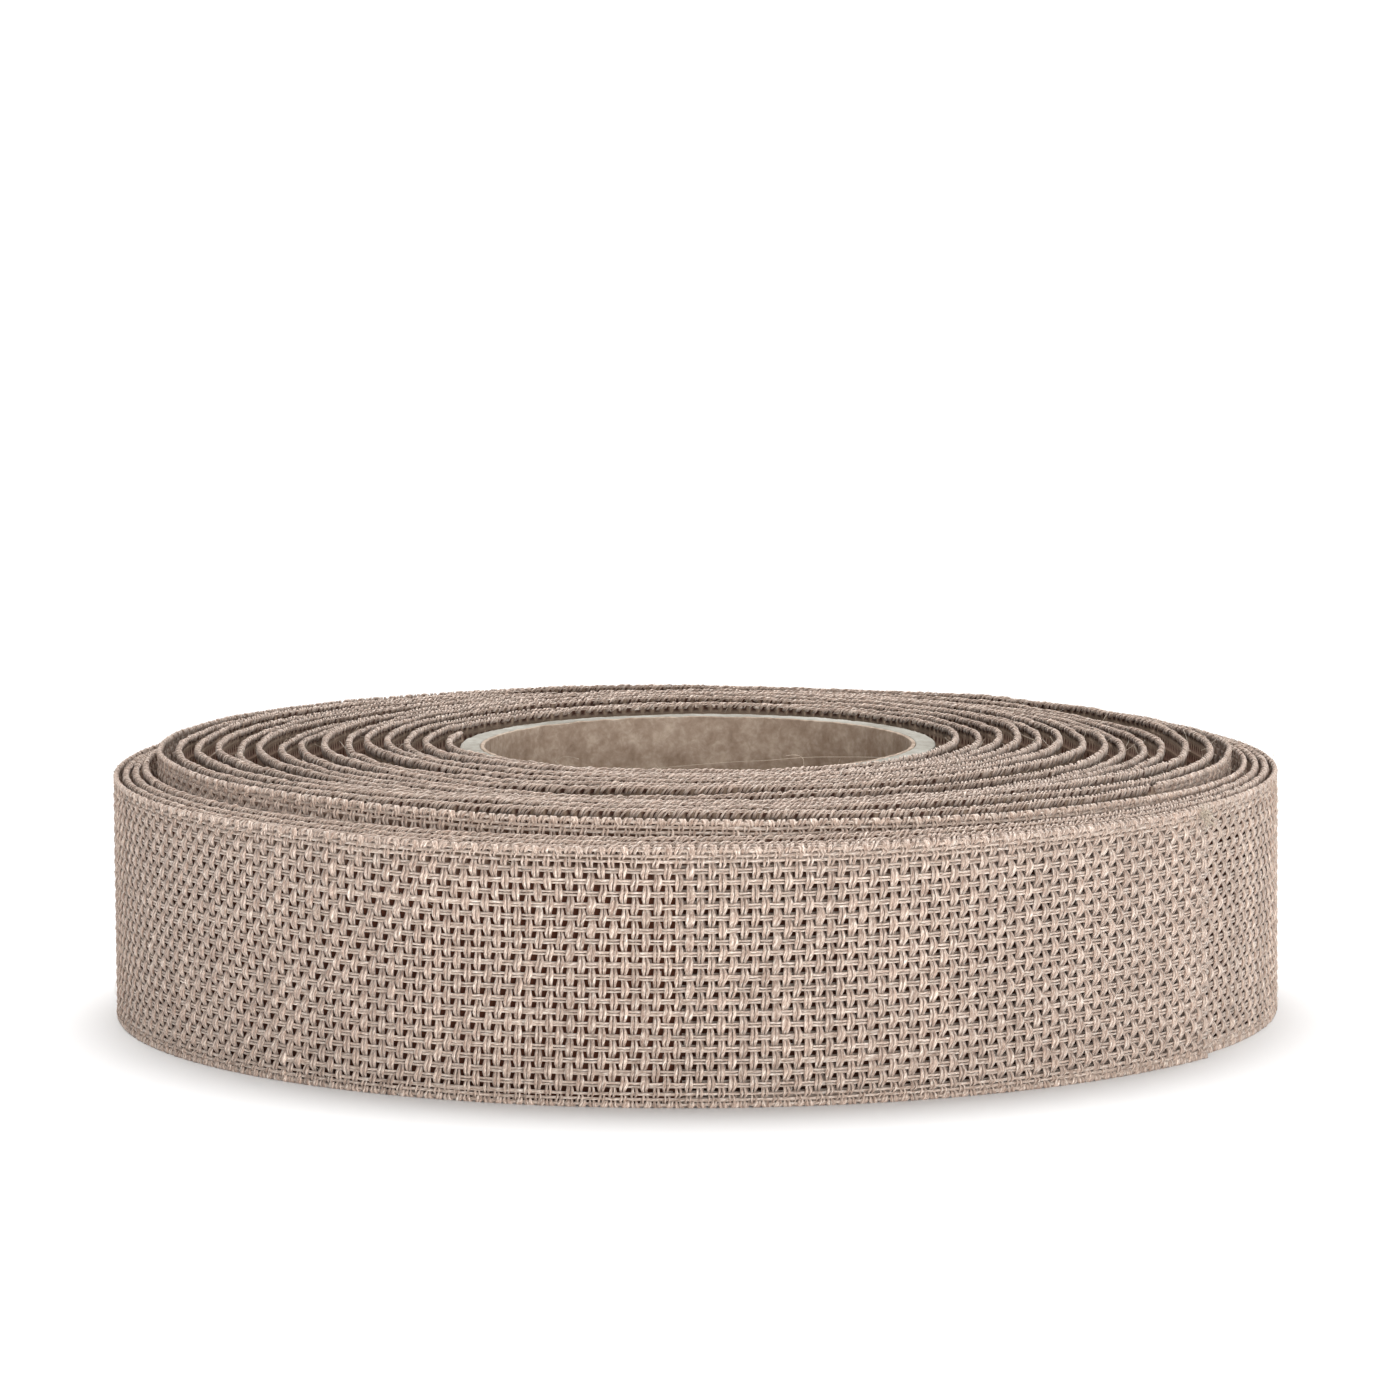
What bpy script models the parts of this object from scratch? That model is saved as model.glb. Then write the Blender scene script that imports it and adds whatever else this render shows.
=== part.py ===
"""A roll of woven ribbon on a cardboard core, lying flat with the core's axis along +Z.

The origin is on the core's axis, at the height of the surface that the roll lies on.
The ribbon is one strip wound outwards, anticlockwise seen from above. Its last stretch is
the free end, in three segments that hinge about upright axes and peel away from the roll.
"""

from math import cos, exp, log1p, pi, radians, sin

import bmesh
import bpy

MM = 0.001

# The woven ribbon.
RIBBON_WIDTH = 25.0 * MM
CLOTH_THICKNESS = 0.5 * MM
TURNS = 18.45  # complete winds from the taped inner end to the free end
LOOSE_PITCH = 2.14 * MM  # radial step from one turn to the next, through most of the roll
TIGHT_PITCH = 1.0 * MM  # the same step over the last turns, which lie close together
TIGHT_TURNS = 4.2
TIGHTENING = 0.3  # turns over which the loose winding passes into the tight one
SLACK_WAVE = 0.3 * MM  # how far the loose turns wander from a true spiral
END_ANGLE = radians(-34.0)  # where the free end lies, measured from +X

# How the turns stand on the table: the last ones rest on it, and the rest ride up the core.
RESTING_TURNS = 3.85
STEP_DOWN = 0.2  # turns over which the winding comes down to the table
LIFT = 2.85 * MM
LIFT_WAVE = 0.35 * MM  # a slow rise and fall from turn to turn
WAVE_TURNS = 8.5
STAGGER = 0.12 * MM
SINK = 2.2 * MM  # how far the raised turns sink towards the outside of the roll
TILT = 1.8 * MM  # how far they lean up towards one side, growing outwards
TILT_ANGLE = radians(-130.0)

# The core, a spiral-wound board tube with a kraft paper ply inside.
CORE_BORE = 44.0 * MM
LINER_PLY = 0.4 * MM
GLUE_LINE = 0.2 * MM
BOARD_WALL = 1.9 * MM
CORE_LENGTH = 27.2 * MM

# The tape that holds the inner end of the ribbon to the core.
TAPE_WIDTH = 19.0 * MM
TAPE_THICKNESS = 0.2 * MM
TAPE_ARC = radians(36.0)

CLEARANCE = 0.3 * MM  # between pieces that touch on the real roll

# The free end.
TAIL_NAMES = ("ribbon_tail_root", "ribbon_tail_middle", "ribbon_tail_tip")
TAIL_STEPS = 2  # facets in each segment

STEPS_PER_TURN = 40
CORE_STEPS = 72

LINER_RADIUS = CORE_BORE / 2 + LINER_PLY
BOARD_INNER_RADIUS = LINER_RADIUS + GLUE_LINE
CORE_RADIUS = BOARD_INNER_RADIUS + BOARD_WALL
TAPE_RADIUS = CORE_RADIUS + CLEARANCE + TAPE_THICKNESS / 2
FIRST_RADIUS = TAPE_RADIUS + TAPE_THICKNESS / 2 + CLEARANCE + CLOTH_THICKNESS / 2
TAIL_TURNS = TAIL_STEPS / STEPS_PER_TURN


def clear_scene():
    for item in list(bpy.data.objects):
        bpy.data.objects.remove(item, do_unlink=True)


def new_collection(name):
    collection = bpy.data.collections.new(name)
    bpy.context.scene.collection.children.link(collection)
    return collection


def principled(name, colour, roughness):
    material = bpy.data.materials.new(name)
    material.use_nodes = True
    shader = material.node_tree.nodes["Principled BSDF"]
    shader.inputs["Base Color"].default_value = (*colour, 1.0)
    shader.inputs["Roughness"].default_value = roughness
    shader.inputs["Metallic"].default_value = 0.0
    return material


def looseness(turn):
    """1 in the loose winding, 0 in the tight last turns, with a smooth step between."""
    return 1 / (1 + exp((turn - (TURNS - TIGHT_TURNS)) / TIGHTENING))


def loose_turns(turn):
    """How many of the turns so far are loose: the running total of looseness."""
    past = (turn - (TURNS - TIGHT_TURNS)) / TIGHTENING
    total = turn - TIGHTENING * (log1p(exp(-abs(past))) + max(past, 0.0))
    at_start = -TIGHTENING * log1p(exp(-(TURNS - TIGHT_TURNS) / TIGHTENING))
    return total - at_start


def winding_angle(turn):
    return END_ANGLE - 2 * pi * (TURNS - turn)


def winding_radius(turn):
    """The cloth's mid-surface: the steps of the turns so far, and the slack turns' wander."""
    angle = winding_angle(turn)
    starting = 1 - exp(-2 * turn)
    wander = 0.6 * sin(2 * angle + 1.1 * turn) + 0.4 * sin(3 * angle - 0.8 * turn)
    steps = TIGHT_PITCH * turn + (LOOSE_PITCH - TIGHT_PITCH) * loose_turns(turn)
    return FIRST_RADIUS + steps + SLACK_WAVE * looseness(turn) * starting * wander


def winding_height(turn):
    """The height of the ribbon's lower edge above the table."""
    angle = winding_angle(turn)
    raised = 1 / (1 + exp((turn - (TURNS - RESTING_TURNS)) / STEP_DOWN))
    wave = LIFT_WAVE * sin(2 * pi * (turn - 2.0) / WAVE_TURNS)
    uneven = STAGGER * sin(2.3 * turn + 0.6 * sin(angle))
    slope = (turn / TURNS) ** 2.5 * (TILT * cos(angle - TILT_ANGLE) - SINK)
    return max(0.0, raised * (LIFT + wave + uneven + slope))


def winding_point(turn):
    radius = winding_radius(turn)
    angle = winding_angle(turn)
    return radius * cos(angle), radius * sin(angle), winding_height(turn)


def upright_strip(name, line, height, thickness, material, collection, origin=(0.0, 0.0, 0.0)):
    """A strip standing on a line of points: the line's edges drawn upwards, then given a thickness."""
    mesh = bpy.data.meshes.new(name)
    build = bmesh.new()
    corners = [build.verts.new([a - b for a, b in zip(point, origin)]) for point in line]
    edges = [build.edges.new(pair) for pair in zip(corners, corners[1:])]
    drawn = bmesh.ops.extrude_edge_only(build, edges=edges)["geom"]
    upper = [item for item in drawn if isinstance(item, bmesh.types.BMVert)]
    bmesh.ops.translate(build, verts=upper, vec=(0.0, 0.0, height))
    build.to_mesh(mesh)
    build.free()
    mesh.shade_smooth()
    mesh.set_sharp_from_angle(angle=radians(30.0))
    strip = bpy.data.objects.new(name, mesh)
    strip.location = origin
    strip.data.materials.append(material)
    collection.objects.link(strip)
    wall = strip.modifiers.new("cloth thickness", "SOLIDIFY")
    wall.thickness = thickness
    wall.offset = 0.0
    wall.use_even_offset = True
    return strip


def tube(name, inner_radius, outer_radius, length, material, collection):
    """A tube standing on the table: its wall's section, turned about Z."""
    mesh = bpy.data.meshes.new(name)
    section = [
        (outer_radius, 0.0, length),
        (outer_radius, 0.0, 0.0),
        (inner_radius, 0.0, 0.0),
        (inner_radius, 0.0, length),
    ]
    mesh.from_pydata(section, [(0, 1), (1, 2), (2, 3), (3, 0)], [])
    ring = bpy.data.objects.new(name, mesh)
    ring.data.materials.append(material)
    collection.objects.link(ring)
    turned = ring.modifiers.new("turned section", "SCREW")
    turned.axis = "Z"
    turned.steps = CORE_STEPS
    turned.render_steps = CORE_STEPS
    turned.use_merge_vertices = True
    turned.merge_threshold = 0.00001
    turned.use_smooth_shade = False
    return ring


def core_liner(collection):
    kraft = principled("kraft paper ply", (0.33, 0.26, 0.20), 0.9)
    return tube("core_liner", CORE_BORE / 2, LINER_RADIUS, CORE_LENGTH, kraft, collection)


def core_board(collection):
    greyboard = principled("greyboard", (0.50, 0.48, 0.44), 0.95)
    return tube("core_board", BOARD_INNER_RADIUS, CORE_RADIUS, CORE_LENGTH, greyboard, collection)


def start_tape(collection):
    """A patch of tape between the core and the ribbon's first centimetres."""
    paper = principled("paper tape", (0.62, 0.55, 0.42), 0.6)
    pieces = 6
    start = winding_angle(0.0)
    base = winding_height(0.0) + (RIBBON_WIDTH - TAPE_WIDTH) / 2
    line = []
    for step in range(pieces + 1):
        angle = start + TAPE_ARC * step / pieces
        line.append((TAPE_RADIUS * cos(angle), TAPE_RADIUS * sin(angle), base))
    return upright_strip("start_tape", line, TAPE_WIDTH, TAPE_THICKNESS, paper, collection)


def ribbon_line(first_turn, last_turn, from_gap, to_gap):
    """Points along the winding between two places on it, each end drawn back by its gap."""
    start = first_turn + from_gap / (2 * pi * winding_radius(first_turn))
    end = last_turn - to_gap / (2 * pi * winding_radius(last_turn))
    steps = round((last_turn - first_turn) * STEPS_PER_TURN)
    inner = [last_turn - back / STEPS_PER_TURN for back in range(steps - 1, 0, -1)]
    return [winding_point(turn) for turn in [start, *inner, end]]


def wound_ribbon(collection, linen):
    tail_start = TURNS - len(TAIL_NAMES) * TAIL_TURNS
    line = ribbon_line(0.0, tail_start, 0.0, CLEARANCE / 2)
    return upright_strip("ribbon_roll", line, RIBBON_WIDTH, CLOTH_THICKNESS, linen, collection)


def ribbon_tail(collection, linen):
    """The free end: each segment's origin is on the hinge at its root, and carries the next one."""
    parent = None
    carried = (0.0, 0.0, 0.0)
    for place, name in enumerate(TAIL_NAMES):
        root = TURNS - (len(TAIL_NAMES) - place) * TAIL_TURNS
        tip = root + TAIL_TURNS
        tip_gap = 0.0 if name == TAIL_NAMES[-1] else CLEARANCE / 2
        line = ribbon_line(root, tip, CLEARANCE / 2, tip_gap)
        hinge = winding_point(root)
        segment = upright_strip(
            name, line, RIBBON_WIDTH, CLOTH_THICKNESS, linen, collection, origin=hinge
        )
        if parent:
            segment.parent = parent
            segment.location = [a - b for a, b in zip(hinge, carried)]
        parent = segment
        carried = hinge


def main():
    clear_scene()
    collection = new_collection("ribbon_spool")
    linen = principled("woven linen", (0.42, 0.33, 0.27), 0.9)
    core_liner(collection)
    core_board(collection)
    start_tape(collection)
    wound_ribbon(collection, linen)
    ribbon_tail(collection, linen)


main()
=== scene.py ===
# A roll of natural linen ribbon on a cardboard core. All lengths are in metres.
import math

import bpy
import numpy as np
from mathutils import Matrix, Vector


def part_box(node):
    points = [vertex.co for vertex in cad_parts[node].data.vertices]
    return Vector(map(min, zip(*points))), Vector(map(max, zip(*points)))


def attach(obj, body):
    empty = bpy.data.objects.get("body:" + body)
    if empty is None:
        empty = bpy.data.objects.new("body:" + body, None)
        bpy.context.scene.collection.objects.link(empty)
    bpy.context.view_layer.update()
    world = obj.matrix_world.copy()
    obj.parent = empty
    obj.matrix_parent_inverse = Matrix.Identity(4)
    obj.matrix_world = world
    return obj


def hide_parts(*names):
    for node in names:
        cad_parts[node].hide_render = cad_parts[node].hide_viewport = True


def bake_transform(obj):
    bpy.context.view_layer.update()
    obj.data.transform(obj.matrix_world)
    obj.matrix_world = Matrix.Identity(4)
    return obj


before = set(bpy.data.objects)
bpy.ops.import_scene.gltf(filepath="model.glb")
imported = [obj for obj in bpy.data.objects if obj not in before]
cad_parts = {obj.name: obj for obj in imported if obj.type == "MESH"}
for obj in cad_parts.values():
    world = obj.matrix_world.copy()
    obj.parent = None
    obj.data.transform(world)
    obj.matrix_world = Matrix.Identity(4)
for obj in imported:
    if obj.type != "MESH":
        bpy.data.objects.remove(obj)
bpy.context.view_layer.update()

mm = 0.001
scene = bpy.context.scene


# ---- small tools

def linear(hexColour):
    # an sRGB hex colour as the linear numbers that a shader takes
    steps = [int(hexColour[k:k + 2], 16) / 255 for k in (0, 2, 4)]
    return tuple(c / 12.92 if c <= 0.04045 else ((c + 0.055) / 1.055) ** 2.4 for c in steps) + (1.0,)


def addNode(tree, kind, settings=None, links=None):
    # one node: settings are its own values, links feed its inputs from sockets or plain values
    node = tree.nodes.new(kind)
    for key, value in (settings or {}).items():
        setattr(node, key, value)
    for key, value in (links or {}).items():
        if isinstance(value, bpy.types.NodeSocket):
            tree.links.new(value, node.inputs[key])
        else:
            node.inputs[key].default_value = value
    return node


def newMaterial(name):
    material = bpy.data.materials.new(name)
    material.use_nodes = True
    return material, material.node_tree, material.node_tree.nodes["Principled BSDF"]


def setRamp(node, stops):
    # stops are (place, hex colour)
    ramp = node.color_ramp
    while len(ramp.elements) < len(stops):
        ramp.elements.new(0.5)
    for element, (place, colour) in zip(ramp.elements, stops):
        element.position = place
        element.color = linear(colour)


def meshPiece(name, points, quads, material, numbers=None, vectors=None, bakeMap=None):
    # a mesh of quads from whole arrays, with per-point attributes and its own bake map
    mesh = bpy.data.meshes.new(name)
    mesh.vertices.add(len(points))
    mesh.vertices.foreach_set("co", np.asarray(points, np.float32).ravel())
    mesh.loops.add(quads.size)
    mesh.loops.foreach_set("vertex_index", quads.astype(np.int32).ravel())
    mesh.polygons.add(len(quads))
    mesh.polygons.foreach_set("loop_start", np.arange(0, quads.size, 4, dtype=np.int32))
    mesh.polygons.foreach_set("use_smooth", np.ones(len(quads), bool))
    for key, values in (numbers or {}).items():
        mesh.attributes.new(key, "FLOAT", "POINT").data.foreach_set(
            "value", np.asarray(values, np.float32).ravel())
    for key, values in (vectors or {}).items():
        mesh.attributes.new(key, "FLOAT_VECTOR", "POINT").data.foreach_set(
            "vector", np.asarray(values, np.float32).ravel())
    if bakeMap is not None:
        mesh.uv_layers.new(name="OFBake").uv.foreach_set("vector", np.asarray(bakeMap, np.float32).ravel())
    mesh.update(calc_edges=True)
    mesh.materials.append(material)
    piece = bpy.data.objects.new(name, mesh)
    scene.collection.objects.link(piece)
    return piece


knotCount = 4096  # random numbers repeat after this many
ownCount = 2048  # crosswise pairs repeat their own unevenness after this many


def wander(x, wavelength, seed):
    # smooth random numbers in -1..1: seeded knots a wavelength apart, eased from one to the next
    knots = np.random.default_rng(seed).uniform(-1, 1, knotCount)
    place = np.asarray(x, float) / wavelength + 500.0  # so that no place is below 0
    low = np.floor(place).astype(int)
    part = place - low
    part = part * part * (3 - 2 * part)
    return knots[low % knotCount] * (1 - part) + knots[(low + 1) % knotCount] * part


# ---- camera

view = {
    "elevation": 8.51,  # degrees above the table
    "distance": 0.734,
    "middle": 12.8 * mm,  # the height that the camera circles
    "lens": 182.5,
    "aimAbove": 1.465,  # degrees between the roll's middle and the middle of the picture
    "aside": 0.24 * mm,
    "roll": -0.3,  # degrees that the camera leans to its left
}


def addCamera():
    rise = math.radians(view["elevation"])
    camera = bpy.data.objects.new("camera", bpy.data.cameras.new("camera"))
    camera.data.lens = view["lens"]
    camera.data.sensor_width = 36.0
    camera.data.clip_start = 0.05
    camera.data.clip_end = 20.0
    camera.location = (
        view["aside"],
        -view["distance"] * math.cos(rise),
        view["middle"] + view["distance"] * math.sin(rise),
    )
    tipped = Matrix.Rotation(math.pi / 2 - rise + math.radians(view["aimAbove"]), 3, "X")
    camera.rotation_euler = (tipped @ Matrix.Rotation(math.radians(view["roll"]), 3, "Z")).to_euler()
    scene.collection.objects.link(camera)
    scene.camera = camera


addCamera()
print("camera placed")


# ---- the winding: where each place on the ribbon lies in the roll

ribbon = {
    "width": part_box("ribbon_tail_tip")[1].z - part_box("ribbon_tail_tip")[0].z,
    "turns": 18.45,
    "loosePitch": 2.14 * mm,
    "tightPitch": 1.0 * mm,
    "tightTurns": 4.2,
    "tightening": 0.3,
    "slackWave": 0.3 * mm,
    "endAngle": math.radians(-34.0),
    "firstRadius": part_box("core_board")[1].x + 1.05 * mm,
    "restingTurns": 3.85,
    "stepDown": 0.2,
    "lift": 2.85 * mm,
    "liftWave": 0.35 * mm,
    "waveTurns": 8.5,
    "stagger": 0.12 * mm,
    "sink": 2.2 * mm,
    "tilt": 1.8 * mm,
    "tiltAngle": math.radians(-130.0),
    "edgeWander": 0.3 * mm,  # rise and fall of the upper edge
    "faceWander": 0.42 * mm,  # how far the loose turns bulge in and out
    "firstRise": 0.4 * mm,  # how much higher the first turns' upper edge stands
    "lowStep": 0.26 * mm,  # how much higher the upper edge of each resting turn stands than the next one out
    "flare": 0.35 * mm,  # how far the outer turns' lower edge leans out on the right
}


def looseness(turn):
    # 1 in the loose winding, 0 in the tight last turns
    past = (turn - ribbon["turns"] + ribbon["tightTurns"]) / ribbon["tightening"]
    return 1 / (1 + np.exp(np.clip(past, -60, 60)))


def windingAngle(turn):
    return ribbon["endAngle"] - 2 * np.pi * (ribbon["turns"] - turn)


def windingRadius(turn):
    # the steps of the turns so far, and the slack turns' wander from a true spiral
    ease = ribbon["tightening"]
    past = (turn - ribbon["turns"] + ribbon["tightTurns"]) / ease
    start = ease * np.log1p(np.exp(-(ribbon["turns"] - ribbon["tightTurns"]) / ease))
    looseTurns = turn - ease * np.logaddexp(0, past) + start
    angle = windingAngle(turn)
    slack = 0.6 * np.sin(2 * angle + 1.1 * turn) + 0.4 * np.sin(3 * angle - 0.8 * turn)
    slack = slack * looseness(turn) * (1 - np.exp(-2 * turn))
    steps = ribbon["tightPitch"] * turn + (ribbon["loosePitch"] - ribbon["tightPitch"]) * looseTurns
    return ribbon["firstRadius"] + steps + ribbon["slackWave"] * slack


def windingHeight(turn):
    # the raised turns' lift, with a slow wave, an unevenness and a slope, until the last turns come down
    angle = windingAngle(turn)
    raised = 1 / (1 + np.exp(np.clip(
        (turn - ribbon["turns"] + ribbon["restingTurns"]) / ribbon["stepDown"], -60, 60)))
    wave = ribbon["liftWave"] * np.sin(2 * np.pi * (turn - 2.0) / ribbon["waveTurns"])
    uneven = ribbon["stagger"] * np.sin(2.3 * turn + 0.6 * np.sin(angle))
    towardsSide = ribbon["tilt"] * np.cos(angle - ribbon["tiltAngle"])
    slope = (turn / ribbon["turns"]) ** 2.5 * (towardsSide - ribbon["sink"])
    return np.maximum(0.0, raised * (ribbon["lift"] + wave + uneven + slope))


turnGrid = np.linspace(0, ribbon["turns"], 40001)
arcSteps = np.hypot(
    np.diff(windingRadius(turnGrid)),
    (windingRadius(turnGrid)[1:] + windingRadius(turnGrid)[:-1]) / 2 * np.diff(windingAngle(turnGrid)),
)
alongGrid = np.concatenate([[0.0], np.cumsum(arcSteps)])
ribbonLength = float(alongGrid[-1])


def alongAt(turn):
    return np.interp(turn, turnGrid, alongGrid)


def onRoll(along, across, out):
    # carries a place on the flat ribbon (metres along it, across it, and out of its face) to the roll
    turn = np.interp(along, alongGrid, turnGrid)
    angle = windingAngle(turn)
    lean = ribbon["flare"] * np.clip(np.cos(angle - 0.2), 0, 1) ** 2 * (1 - across / ribbon["width"])
    lean = lean * np.clip(turn - ribbon["turns"] + 1.2, 0, 1)
    free = looseness(turn) * (1 - np.exp(-4 * turn))
    bulge = wander(along, 17 * mm, 6) + 0.5 * wander(along, 6 * mm, 9)
    radius = windingRadius(turn) + out + lean + ribbon["faceWander"] * free * bulge * 0.7
    edge = across / ribbon["width"]
    uneven = wander(along, 22 * mm, 5) + 0.35 * wander(along, 5 * mm, 10)
    resting = np.clip((turn - ribbon["turns"] + ribbon["restingTurns"]) / (2 * ribbon["stepDown"]), 0, 1)
    rise = ribbon["edgeWander"] * (0.3 + 0.7 * looseness(turn)) * uneven * 0.8
    rise = rise + ribbon["lowStep"] * resting * np.clip(ribbon["turns"] - 1 - turn, 0, 2.7)
    height = windingHeight(turn) + across + edge * (rise + ribbon["firstRise"] * np.exp(-turn / 2))
    return np.stack([radius * np.cos(angle), radius * np.sin(angle), height], -1)


print("ribbon length", round(ribbonLength, 3))


# ---- materials

def linenYarn(name, deep, body, paleFibreAndGlint, sheen):
    # flax and jute spun into a loose yarn: long fibres in a slow twist, dull, with painted shade between the
    # fibres and painted pale glints along them
    material, tree, shader = newMaterial(name)
    place = addNode(tree, "ShaderNodeAttribute", {"attribute_name": "fibrePlace"})
    tone = addNode(tree, "ShaderNodeAttribute", {"attribute_name": "yarnTone"})
    strands = addNode(tree, "ShaderNodeTexNoise", None,
                      {"Vector": place.outputs["Vector"], "Scale": 1.0, "Detail": 4.0, "Roughness": 0.65})
    ramp = addNode(tree, "ShaderNodeValToRGB", None, {"Fac": strands.outputs["Fac"]})
    # painted light and shade: the deep end is shade painted between the fibres, body is the fibres' own
    # colour, the pale end is glints painted along them
    setRamp(ramp, [(0.30, deep), (0.52, body), (0.72, paleFibreAndGlint)])
    # yarnTone carries each yarn's own tone together with the painted light and shade worked out for it
    shade = addNode(tree, "ShaderNodeHueSaturation", None,
                    {"Color": ramp.outputs["Color"], "Value": tone.outputs["Fac"]})
    bump = addNode(tree, "ShaderNodeBump", None,
                   {"Height": strands.outputs["Fac"], "Strength": 0.55, "Distance": 0.08 * mm})
    tree.links.new(shade.outputs["Color"], shader.inputs["Base Color"])
    tree.links.new(bump.outputs["Normal"], shader.inputs["Normal"])
    shader.inputs["Roughness"].default_value = 0.62
    shader.inputs["IOR"].default_value = 1.5
    shader.inputs["Specular IOR Level"].default_value = 0.35
    shader.inputs["Sheen Weight"].default_value = sheen
    shader.inputs["Sheen Roughness"].default_value = 0.5
    return material


def wovenGround(name):
    # the same cloth where only slivers of it show between turns: yarns and holes drawn on a thin sheet
    material, tree, shader = newMaterial(name)
    place = addNode(tree, "ShaderNodeAttribute", {"attribute_name": "clothPlace"})
    split = addNode(tree, "ShaderNodeSeparateXYZ", None, {"Vector": place.outputs["Vector"]})

    def nearYarn(socket, pitch):
        # 1 on the middle of a yarn pair, falling to 0 halfway to the next
        count = addNode(tree, "ShaderNodeMath", {"operation": "DIVIDE"}, {0: socket, 1: pitch})
        swing = addNode(tree, "ShaderNodeMath", {"operation": "PINGPONG"}, {0: count.outputs[0], 1: 0.5})
        return addNode(tree, "ShaderNodeMath", {"operation": "MULTIPLY"}, {0: swing.outputs[0], 1: 2.0})

    weft = nearYarn(split.outputs["X"], weave["weftPitch"] / mm)
    warp = nearYarn(split.outputs["Y"], weave["drawnWarpPitch"] / mm)
    most = addNode(tree, "ShaderNodeMath", {"operation": "MAXIMUM"}, {0: weft.outputs[0], 1: warp.outputs[0]})
    fibre = addNode(tree, "ShaderNodeTexNoise", None,
                    {"Vector": place.outputs["Vector"], "Scale": 2.6, "Detail": 4.0, "Roughness": 0.7})
    rough = addNode(tree, "ShaderNodeMath", {"operation": "MULTIPLY_ADD"},
                    {0: fibre.outputs["Fac"], 1: 0.5, 2: most.outputs[0]})
    # painted shade: the ramp is much darker than the yarns' own colour, for the shade between the turns, and
    # darkest in the holes between the yarns
    ramp = addNode(tree, "ShaderNodeValToRGB", None, {"Fac": rough.outputs[0]})
    setRamp(ramp, [(0.50, "4a3026"), (0.72, "705a4d"), (1.0, "94806f")])
    # the cloth is dark between the turns and comes into the light near its upper edge
    top = ribbon["width"] / mm
    inside = addNode(tree, "ShaderNodeMapRange", None, {
        "Value": split.outputs["Y"], "From Min": top - 4.5, "From Max": top - 1.0})
    shade = addNode(tree, "ShaderNodeMix", {"data_type": "RGBA"}, {"Factor": inside.outputs["Result"]})
    shade.inputs["A"].default_value = linear("643c2c")
    tree.links.new(ramp.outputs["Color"], shade.inputs["B"])
    bump = addNode(tree, "ShaderNodeBump", None,
                   {"Height": rough.outputs[0], "Strength": 0.9, "Distance": 0.25 * mm})
    tree.links.new(shade.outputs["Result"], shader.inputs["Base Color"])
    tree.links.new(bump.outputs["Normal"], shader.inputs["Normal"])
    shader.inputs["Roughness"].default_value = 0.85
    shader.inputs["Specular IOR Level"].default_value = 0.2
    return material


def greyboard(name):
    # recycled pulp board, sawn across: pale grey, soft, with flecks and soft patches
    material, tree, shader = newMaterial(name)
    where = addNode(tree, "ShaderNodeTexCoord")
    pulp = addNode(tree, "ShaderNodeTexNoise", None,
                   {"Vector": where.outputs["Object"], "Scale": 900.0, "Detail": 6.0, "Roughness": 0.7})
    patches = addNode(tree, "ShaderNodeTexNoise", None,
                      {"Vector": where.outputs["Object"], "Scale": 130.0, "Detail": 3.0})
    both = addNode(tree, "ShaderNodeMath", {"operation": "ADD"},
                   {0: pulp.outputs["Fac"], 1: patches.outputs["Fac"]})
    half = addNode(tree, "ShaderNodeMath", {"operation": "MULTIPLY"}, {0: both.outputs[0], 1: 0.5})
    ramp = addNode(tree, "ShaderNodeValToRGB", None, {"Fac": half.outputs[0]})
    setRamp(ramp, [(0.32, "7a756b"), (0.5, "9d9990"), (0.66, "b5b2aa")])
    bump = addNode(tree, "ShaderNodeBump", None,
                   {"Height": pulp.outputs["Fac"], "Strength": 0.7, "Distance": 0.12 * mm})
    tree.links.new(ramp.outputs["Color"], shader.inputs["Base Color"])
    tree.links.new(bump.outputs["Normal"], shader.inputs["Normal"])
    shader.inputs["Roughness"].default_value = 0.95
    shader.inputs["Specular IOR Level"].default_value = 0.15
    return material


def kraftPly(name):
    # unbleached kraft paper: brown, mottled, with long pale and dark fibres pressed into it
    material, tree, shader = newMaterial(name)
    where = addNode(tree, "ShaderNodeTexCoord")
    mottle = addNode(tree, "ShaderNodeTexNoise", None,
                     {"Vector": where.outputs["Object"], "Scale": 420.0, "Detail": 6.0, "Roughness": 0.7})
    fibres = addNode(tree, "ShaderNodeTexNoise", None,
                     {"Vector": where.outputs["Object"], "Scale": 900.0, "Detail": 4.0, "Distortion": 1.5})
    both = addNode(tree, "ShaderNodeMath", {"operation": "MULTIPLY_ADD"},
                   {0: fibres.outputs["Fac"], 1: 0.45, 2: mottle.outputs["Fac"]})
    ramp = addNode(tree, "ShaderNodeValToRGB", None, {"Fac": both.outputs[0]})
    setRamp(ramp, [(0.42, "806b5a"), (0.72, "a79483"), (1.02, "c9b9a8")])
    bump = addNode(tree, "ShaderNodeBump", None,
                   {"Height": fibres.outputs["Fac"], "Strength": 0.35, "Distance": 0.05 * mm})
    tree.links.new(ramp.outputs["Color"], shader.inputs["Base Color"])
    tree.links.new(bump.outputs["Normal"], shader.inputs["Normal"])
    shader.inputs["Roughness"].default_value = 0.8
    shader.inputs["Specular IOR Level"].default_value = 0.25
    return material


def crepeTape(name):
    # paper masking tape: buff, with the light and shade of fine creases painted into its colour
    material, tree, shader = newMaterial(name)
    where = addNode(tree, "ShaderNodeTexCoord")
    paintedCreaseShade = addNode(tree, "ShaderNodeTexNoise", None,
                     {"Vector": where.outputs["Object"], "Scale": 1200.0, "Detail": 2.0})
    ramp = addNode(tree, "ShaderNodeValToRGB", None, {"Fac": paintedCreaseShade.outputs["Fac"]})
    setRamp(ramp, [(0.35, "b9a67c"), (0.65, "d8c8a0")])
    tree.links.new(ramp.outputs["Color"], shader.inputs["Base Color"])
    shader.inputs["Roughness"].default_value = 0.6
    return material


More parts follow.
